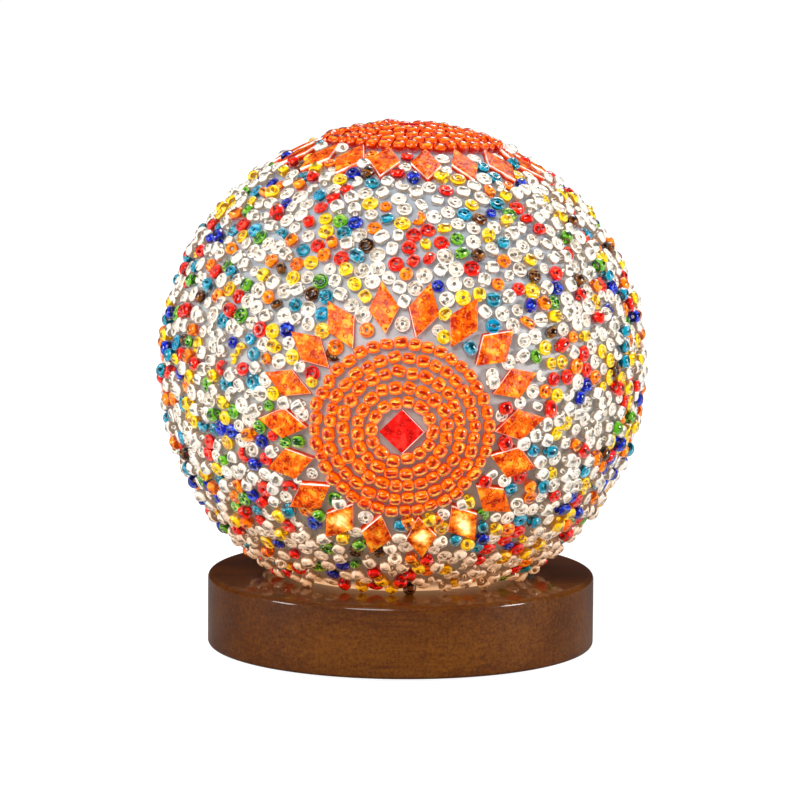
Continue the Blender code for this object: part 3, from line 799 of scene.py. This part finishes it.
def packed_field(rng):
    """Directions from the globe's centre to beads packed at random between the medallions."""
    axes = [axis_matrix(*place)[:, 2] for place in MEDALLIONS.values()]
    blocks, block_radii = obstacles()
    bead = FIELD_SPACING_RADIUS / GLASS_RADIUS
    points = unit(rng.normal(size=(4 * FIELD_BEADS, 3)))
    clear = points[:, 2] > math.cos(math.radians(COAT_END_DEG) - bead)
    for axis in axes:
        clear &= points @ axis < math.cos(math.radians(DISC_EDGE_DEG) + bead)
    clear &= (points @ blocks.T < np.cos(block_radii / GLASS_RADIUS)).all(axis=1)
    fixed = np.concatenate([gap_places(), edge_places(rng)])
    points = np.concatenate([fixed, points[clear][:FIELD_BEADS - len(fixed)]])
    # The beads push from further off at first, and their pairs are found anew every few steps
    early_reach, settling, refresh = 0.35, 1.6, 8
    for step in range(SPREAD_STEPS):
        spread = 1.0 + early_reach * max(0.0, 1.0 - settling * step / SPREAD_STEPS)
        pair_reach = 2 * bead * spread
        block_reach = (block_radii + FIELD_SPACING_RADIUS) / GLASS_RADIUS
        if step % refresh == 0:
            likeness = points @ points.T
            np.fill_diagonal(likeness, -1)
            bead_pairs = np.nonzero(likeness > math.cos(1.5 * pair_reach))
            block_pairs = np.nonzero(points @ blocks.T > np.cos(1.8 * block_reach)[None, :])
        move = pushes(points, points, bead_pairs, pair_reach, 0.3)
        move += pushes(points, blocks, block_pairs, block_reach[block_pairs[1]], 0.6)
        points = push_inside(unit(points + move), axes, bead)
        points[:len(fixed)] = fixed
    return points


def lay_beads(rng, normals, kinds):
    """Frames, places and scales for beads on the globe."""
    count = len(normals)
    angles = rng.uniform(0, 2 * math.pi, count)
    along = tangent_at(normals, angles)
    lean = np.radians(np.select(
        [kinds == ON_END, kinds == ON_SIDE, kinds == LEANING],
        [np.abs(rng.normal(0, 7, count)), 90 + rng.normal(0, 6, count), rng.uniform(30, 60, count)],
        np.abs(rng.normal(0, 9, count)),
    ))
    axes = np.cos(lean)[:, None] * normals + np.sin(lean)[:, None] * along
    hints = tangent_at(normals, rng.uniform(0, 2 * math.pi, count))
    flat = np.abs((axes * hints).sum(axis=1)) > 0.98
    hints[flat] = normals[flat]
    frames = frames_from_axes(axes, hints)
    lying = (kinds == ON_SIDE) | (kinds == LEANING)
    small = np.where(rng.random(count) < SMALL_BEAD_SHARE, SMALL_BEAD_SCALE, 1.0)
    wide = rng.normal(1.0, 0.06, count) * small * np.where(lying, 0.88, 1.0)
    long = rng.normal(1.0, 0.11, count) * np.where(lying, 1.04, 0.64)
    scales = np.stack([wide, wide, long], axis=1)
    rise = np.abs(np.cos(lean)) * BEAD_HALF_LENGTH * long + np.abs(np.sin(lean)) * BEAD_RADIUS * wide
    rise *= np.where(kinds == LEANING, 0.86, 1.0)
    places = normals * (GLASS_RADIUS - BEAD_SUNK + rise)[:, None] + CENTRE
    return frames, places, scales


def make_field_beads(materials):
    """The beads between the medallions, in one piece for each colour and lie."""
    rng = np.random.default_rng(SEED)
    normals = packed_field(rng)
    kinds = rng.choice(len(LIE_SHARES), size=len(normals), p=LIE_SHARES)
    names = list(FIELD_COLOURS)
    shares = np.array(list(FIELD_COLOURS.values()))
    colours = rng.choice(len(names), size=len(normals), p=shares / shares.sum())
    frames, places, scales = lay_beads(rng, normals, kinds)
    whole = bead_template()
    broken = bead_template(BROKEN_SWEEP_DEG)
    lying = (kinds == ON_SIDE) | (kinds == LEANING)
    clear_groups = {"on_end": kinds == ON_END, "on_side": lying, "broken": kinds == BROKEN}
    groups = {"whole": kinds != BROKEN, "broken": kinds == BROKEN}
    first = True
    for index, colour in enumerate(names):
        for group, of_group in (clear_groups if colour == "clear" else groups).items():
            chosen = of_group & (colours == index)
            if not chosen.any():
                continue
            template = broken if group == "broken" else whole
            piece = beads_mesh(
                f"{colour}_beads_{group}", template, frames[chosen], places[chosen], scales[chosen]
            )
            finish_piece(piece, "globe", "mixed_beads", materials[colour])
            if first:
                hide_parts("bead_field")
                first = False


def make_ring_beads(side, material):
    """Five rings of orange beads threaded round the middle tile."""
    rng = np.random.default_rng(SEED + 10 * len(side))
    turn = axis_matrix(*MEDALLIONS[side])
    normals, along, longs = [], [], []
    for count, degrees in zip(RING_COUNTS, RING_DEGREES):
        lengths = rng.uniform(0.86, 1.14, count)
        steps = np.cumsum(lengths) / lengths.sum() * 2 * math.pi
        angles = steps - lengths / lengths.sum() * math.pi + rng.uniform(0, 2 * math.pi)
        out = np.radians(degrees + rng.normal(0, 0.18, count))
        normal = direction(out, angles)
        turned_by = rng.normal(0, 0.15, count)
        ring_way = np.stack([-np.sin(angles), np.cos(angles), np.zeros(count)], axis=1)
        outward = np.cross(ring_way, normal)
        normals.append(normal)
        along.append(np.cos(turned_by)[:, None] * ring_way + np.sin(turned_by)[:, None] * outward)
        room = 2 * math.pi * math.sin(math.radians(degrees)) * (GLASS_RADIUS + BEAD_RADIUS)
        longs.append(lengths / lengths.sum() * room / (2 * BEAD_HALF_LENGTH) * 0.93)
    normals = np.concatenate(normals) @ turn.T
    axes = unit(np.concatenate(along) @ turn.T)
    longs = np.concatenate(longs)
    wide = rng.normal(0.82, 0.05, len(normals))
    scales = np.stack([wide, wide, longs], axis=1)
    places = normals * (GLASS_RADIUS + 0.1 * MM + BEAD_RADIUS * wide)[:, None] + CENTRE
    piece = beads_mesh(
        side + "_ring_beads", bead_template(), frames_from_axes(axes, normals), places, scales
    )
    finish_piece(piece, "globe", "orange_beads", material)
    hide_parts(side + "_bead_rings")


# ---- tiles


def tile_template(corners, thickness, divisions, rng, slant):
    """A hand-cut glass tile: a wavy top with rounded arrises, slanted sides and a flat back.

    The back is moved across by the slant, so a side it moves towards is open to view.
    Returns points, faces, and for each face whether it is on a side.
    """
    a, b, c, d = (np.array(corner) for corner in corners)
    arris = 0.22 * MM
    wave_height = 0.05 * MM
    count = divisions + 1
    vertices, faces, sides = [], [], []
    waves = rng.normal(0, 1, (4, 3))
    for j in range(count):
        for i in range(count):
            u, v = i / divisions, j / divisions
            flat = (1 - u) * (1 - v) * a + u * (1 - v) * b + u * v * c + (1 - u) * v * d
            border = min(u, 1 - u, v, 1 - v)
            height = thickness - (arris if border == 0 else 0.0)
            if border > 0:
                wave = sum(math.sin(3 + 9 * (w[0] * u + w[1] * v) + w[2]) for w in waves)
                height += wave_height * wave * min(1.0, 6 * border)
            vertices.append((flat[0], flat[1], height))
    for j in range(divisions):
        for i in range(divisions):
            k = j * count + i
            faces.append((k, k + 1, k + count + 1, k + count))
            sides.append(False)
    rim = list(range(count))
    rim += [j * count + divisions for j in range(1, count)]
    rim += [divisions * count + i for i in range(divisions - 1, -1, -1)]
    rim += [j * count for j in range(divisions - 1, 0, -1)]
    foot = len(vertices)
    for k in rim:
        vertices.append((vertices[k][0] + slant[0], vertices[k][1] + slant[1], 0.0))
    for i, k in enumerate(rim):
        following = (i + 1) % len(rim)
        faces.append((foot + i, foot + following, rim[following], k))
        sides.append(True)
    faces.append(tuple(foot + i for i in reversed(range(len(rim)))))
    sides.append(False)
    return np.array(vertices), faces, sides


def tiles_object(name, tiles, lit=()):
    """One mesh of several tiles, each given as (template, 3 x 3 frame, place)."""
    vertices, faces, sides, lies, leds = [], [], [], [], []
    for index, ((points, tile_faces, tile_sides), turn, place) in enumerate(tiles):
        offset = len(vertices)
        vertices += [tuple(turn @ point + place) for point in points]
        faces += [tuple(offset + i for i in face) for face in tile_faces]
        sides += tile_sides
        lies += [point / TILE_THICKNESS for point in points]
        leds += [float(index in lit)] * len(points)
    obj = mesh_object(name, vertices, faces)
    obj.data.polygons.foreach_set("material_index", [int(side) for side in sides])
    lie = obj.data.attributes.new("lie", "FLOAT_VECTOR", "POINT")
    lie.data.foreach_set("vector", np.array(lies, np.float32).ravel())
    # Marks the tiles that get a painted hot spot of LED light
    behind = obj.data.attributes.new("led_behind", "FLOAT", "POINT")
    behind.data.foreach_set("value", leds)
    obj.data.set_sharp_from_angle(angle=math.radians(50))
    return obj


def make_diamond_tiles(side, face, edge):
    """The ring of orange diamonds round a medallion."""
    rng = np.random.default_rng(SEED + 100 + len(side))
    tiles = []
    for turn in diamond_frames(side):
        long = DIAMOND_HALF_LONG * rng.normal(1.0, 0.02)
        short = DIAMOND_HALF_SHORT * rng.normal(0.99, 0.03)
        corners = [(-long, 0), (0, -short), (long, 0), (0, short)]
        corners = [(x + rng.normal(0, 0.15 * MM), y + rng.normal(0, 0.15 * MM)) for x, y in corners]
        place = CENTRE + TILE_BOTTOM * turn[:, 2]
        slant = rng.normal(0, TILE_SLANT, 2)
        tiles.append((tile_template(corners, TILE_THICKNESS, 10, rng, slant), turn, place))
    piece = tiles_object(side + "_diamond_tiles", tiles, LIT_TILES if side != "top" else ())
    finish_piece(piece, "globe", "orange_glass", face, edge)
    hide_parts(side + "_tile_ring")


def make_centre_tile(side, face, edge):
    """The red square in the middle of a medallion, standing on its corner."""
    rng = np.random.default_rng(SEED + 200 + len(side))
    half = 4 * MM * math.sqrt(2)
    corners = [(-half, 0), (0, -0.98 * half), (0.97 * half, 0), (0, 1.02 * half)]
    turn = axis_matrix(*MEDALLIONS[side])
    place = CENTRE + TILE_BOTTOM * turn[:, 2]
    template = tile_template(corners, TILE_THICKNESS, 12, rng, RED_TILE_SLANT)
    piece = tiles_object(side + "_red_tile", [(template, turn, place)])
    finish_piece(piece, "globe", "red_glass", face, edge)
    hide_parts(side + "_centre_tile")


# ---- globe and base


def make_glass(material):
    """The blown globe, with its neck standing in the base."""
    outer_end = 180 - math.degrees(math.asin(NECK_RADIUS / GLASS_RADIUS))
    inner_radius = GLASS_RADIUS - GLASS_WALL
    inner_neck = NECK_RADIUS - GLASS_WALL
    inner_end = 180 - math.degrees(math.asin(inner_neck / inner_radius))
    centre = (0.0, GLOBE_CENTRE.z)
    lip = 0.6 * MM
    profile = [
        *arc(GLASS_RADIUS, 0, outer_end, 72, centre),
        (NECK_RADIUS, NECK_BOTTOM + lip),
        (NECK_RADIUS - lip, NECK_BOTTOM),
        (inner_neck + lip, NECK_BOTTOM),
        (inner_neck, NECK_BOTTOM + lip),
        *arc(inner_radius, inner_end, 0, 60, centre),
    ]
    glass = turned("frosted_globe", profile, 128)
    finish_piece(glass, "globe", "frosted_glass", material)
    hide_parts("glass_globe")


def cut(target, tool):
    """Cuts a tool's shape out of an object, and removes the tool."""
    modifier = target.modifiers.new("cut", "BOOLEAN")
    modifier.object = tool
    modifier.solver = "EXACT"
    baked(target, 30)
    bpy.data.objects.remove(tool)


def make_wood_base(material):
    """The turned base with its neck recess, wiring cavity and rear holes, as in the CAD solid."""
    radius = BASE_HIGH.x
    top, bottom = BASE_TOP, BASE_LOW.z
    top_round, bottom_round = 1.4 * MM, 1.0 * MM
    recess, recess_floor = 27.6 * MM, 13 * MM
    seat, seat_top = 43.4 * MM, 4.3 * MM
    cavity, ceiling = 36 * MM, 10 * MM
    profile = [
        (0, recess_floor),
        (recess, recess_floor),
        (recess, top - 0.5 * MM),
        (recess + 0.5 * MM, top),
        *arc(top_round, 0, 90, 8, (radius - top_round, top - top_round)),
        *arc(bottom_round, 90, 180, 6, (radius - bottom_round, bottom + bottom_round)),
        (seat, bottom),
        (seat, seat_top),
        (cavity, seat_top),
        (cavity, ceiling),
        (0, ceiling),
    ]
    base = turned("turned_base", profile, 160, 30)
    wide, narrow = 6.4 * MM, 4.2 * MM
    outside, step, inside = 60 * MM, 48.8 * MM, 36 * MM
    hole = [(0, outside), (wide, outside), (wide, step), (narrow, step), (narrow, inside), (0, inside)]
    for turn in (16, -16):
        tool = turned("rear_hole", hole, 48)
        tool.location.z = 10.1 * MM
        tool.rotation_euler = (math.radians(-90), 0, math.radians(turn))
        cut(base, tool)
    finish_piece(base, "base", "walnut", material)
    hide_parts("wood_base")


def make_dome(material):
    """The opal dome over the LEDs."""
    low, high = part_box("diffuser_dome")
    flange = high.x
    radius, wall, spring = 21.6 * MM, 1.2 * MM, 18 * MM
    step = low.z + 1.2 * MM

    def shell(r, top, start, end):
        return [(x, spring + (top - spring) * z / r) for x, z in arc(r, start, end, 20)]

    profile = [
        *shell(radius, high.z, 0, 90),
        (radius, step),
        (flange, step),
        (flange, low.z),
        (radius - wall, low.z),
        *shell(radius - wall, high.z - wall, 90, 0),
    ]
    dome = turned("opal_dome", profile, 96)
    finish_piece(dome, "base", "opal_diffuser", material)
    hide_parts("diffuser_dome")


CAD_FINISHES = {
    "bottom_cover": "black",
    "base_pad": "rubber",
    "neck_gasket": "silicone",
    "heat_plate": "aluminium",
    "led_board": "white_board",
    "power_inlet": "black",
    "switch_body": "black",
    "power_button": "black",
    "inlet_nut": "steel",
    "switch_nut": "steel",
    "driver_board": "green_board",
    "driver_chip": "black",
    "supply_wire": "red_wire",
    "switched_wire": "red_wire",
    "ground_wire": "black",
    "led_wire_red": "red_wire",
    "led_wire_black": "black",
}


def finish_cad_nodes():
    """Gives the CAD nodes that stay in view their own materials."""
    finishes = {
        "black": plain_material("black_moulding", (0.018, 0.018, 0.02), 0.38),
        "rubber": plain_material("grey_rubber", (0.05, 0.05, 0.055), 0.8, depth=0.0001),
        "silicone": plain_material("silicone_ring", (0.75, 0.74, 0.7), 0.5),
        "aluminium": plain_material("turned_aluminium", (0.72, 0.73, 0.75), 0.32, 1.0),
        "steel": plain_material("zinc_plate", (0.62, 0.61, 0.58), 0.28, 1.0),
        "white_board": plain_material("white_mask", (0.82, 0.82, 0.8), 0.35),
        "green_board": plain_material("green_mask", (0.02, 0.2, 0.06), 0.35),
        "red_wire": plain_material("red_sleeve", (0.6, 0.02, 0.015), 0.35),
        "phosphor": plain_material(
            "warm_phosphor", (0.95, 0.72, 0.2), 0.5, Emission_Color=(1.0, 0.62, 0.3, 1.0),
            Emission_Strength=6.0
        ),
    }
    for name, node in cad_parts.items():
        if name.startswith(("cover_screw", "board_screw")):
            finish = "steel"
        elif name.startswith("led_chip"):
            finish = "phosphor"
        else:
            finish = CAD_FINISHES.get(name)
        if finish:
            for slot in node.material_slots:
                slot.material = finishes[finish]


# ---- camera, floor and light


def make_camera():
    data = bpy.data.cameras.new("camera")
    data.lens = 261.2
    data.sensor_width = 36.0
    data.clip_start = 0.05
    data.clip_end = 50.0
    camera = link(bpy.data.objects.new("camera", data))
    elevation = math.radians(8.84)
    roll = math.radians(0.38)
    distance = 1.5
    middle = Vector((0, 0, 0.060))
    back = Vector((0, -math.cos(elevation), math.sin(elevation)))
    camera.location = middle + distance * back
    aim = Vector((-0.0005, 0, 0.0644))
    look = (aim - camera.location).to_track_quat("-Z", "Y")
    camera.rotation_mode = "QUATERNION"
    camera.rotation_quaternion = look @ Matrix.Rotation(roll, 3, "Z").to_quaternion()
    bpy.context.scene.camera = camera


def area_light(name, place, size, power):
    """A round lamp aimed at the middle of the object."""
    data = bpy.data.lights.new(name, "AREA")
    data.shape = "DISK"
    data.size = size
    data.energy = power
    light = link(bpy.data.objects.new(name, data))
    light.location = place
    light.rotation_euler = (Vector((0, 0, 0.07)) - Vector(place)).to_track_quat("-Z", "Y").to_euler()


def make_world():
    """White to the camera, and to all else a dim sky that brightens overhead."""
    world = bpy.data.worlds.new("studio")
    world.use_nodes = True
    background = world.node_tree.nodes["Background"]
    background.inputs["Color"].default_value = (1.0, 1.0, 1.0, 1.0)
    add, connect = node_maker(world.node_tree), world.node_tree.links.new
    way = add("ShaderNodeSeparateXYZ")
    connect(add("ShaderNodeTexCoord").outputs["Generated"], way.inputs["Vector"])
    sky = add("ShaderNodeMapRange", From_Min=0.2, From_Max=0.75, To_Min=0.02, To_Max=0.2)
    connect(way.outputs["Z"], sky.inputs["Value"])
    backdrop = add("ShaderNodeMix", data_type="FLOAT", B=1.0)
    connect(sky.outputs["Result"], backdrop.inputs["A"])
    connect(add("ShaderNodeLightPath").outputs["Is Camera Ray"], backdrop.inputs["Factor"])
    connect(backdrop.outputs["Result"], background.inputs["Strength"])
    bpy.context.scene.world = world


def make_floor():
    """A wide floor that looks nearly white to the camera, and lights nothing."""
    bm = bmesh.new()
    bmesh.ops.create_grid(bm, x_segments=2, y_segments=2, size=4.0)
    mesh = bpy.data.meshes.new("floor")
    bm.to_mesh(mesh)
    bm.free()
    floor = link(bpy.data.objects.new("floor", mesh))
    material, shader, connect, add = new_material("pale_floor")
    set_inputs(shader, Base_Color=(0.3, 0.3, 0.3, 1.0), Roughness=0.9)
    set_inputs(shader, Emission_Color=(1.0, 1.0, 1.0, 1.0))
    camera_ray = add("ShaderNodeLightPath").outputs["Is Camera Ray"]
    connect(maths(add, connect, "MULTIPLY", camera_ray, 0.96), shader.inputs["Emission Strength"])
    mesh.materials.append(material)


def make_studio():
    bpy.context.scene.view_settings.view_transform = "Standard"
    make_world()
    area_light("key", (-0.30, -0.85, 0.62), 0.5, 7.8)
    area_light("fill", (0.95, -0.35, 0.30), 0.3, 8.0)
    area_light("side", (-0.95, -0.30, 0.25), 0.3, 5.0)
    area_light("back", (0.30, 0.70, 0.95), 0.5, 3.0)
    make_floor()


# ---- the lamp

make_camera()
make_studio()

beads = bead_materials()
orange_face, orange_edge = tile_materials(
    "orange_tile", (1.0, 0.38, 0.025), (0.86, 0.10, 0.001), (0.42, 0.012, 0.0), 0.66
)
red_face, red_edge = tile_materials(
    "red_tile", (0.85, 0.03, 0.02), (0.70, 0.004, 0.002), (0.42, 0.001, 0.001), 0.4
)
opal = plain_material(
    "opal_plastic", (0.82, 0.78, 0.72), 0.4, Emission_Color=(1.0, 0.62, 0.3, 1.0), Emission_Strength=0.55
)

make_glass(frosted_glass_material())
make_field_beads(beads)
for side in MEDALLIONS:
    # The top medallion takes the darker copy of the ring beads, with painted shade
    make_ring_beads(side, beads["shaded_ring" if side == "top" else "ring"])
    make_diamond_tiles(side, orange_face, orange_edge)
    make_centre_tile(side, red_face, red_edge)
make_wood_base(walnut_material())
make_dome(opal)
finish_cad_nodes()
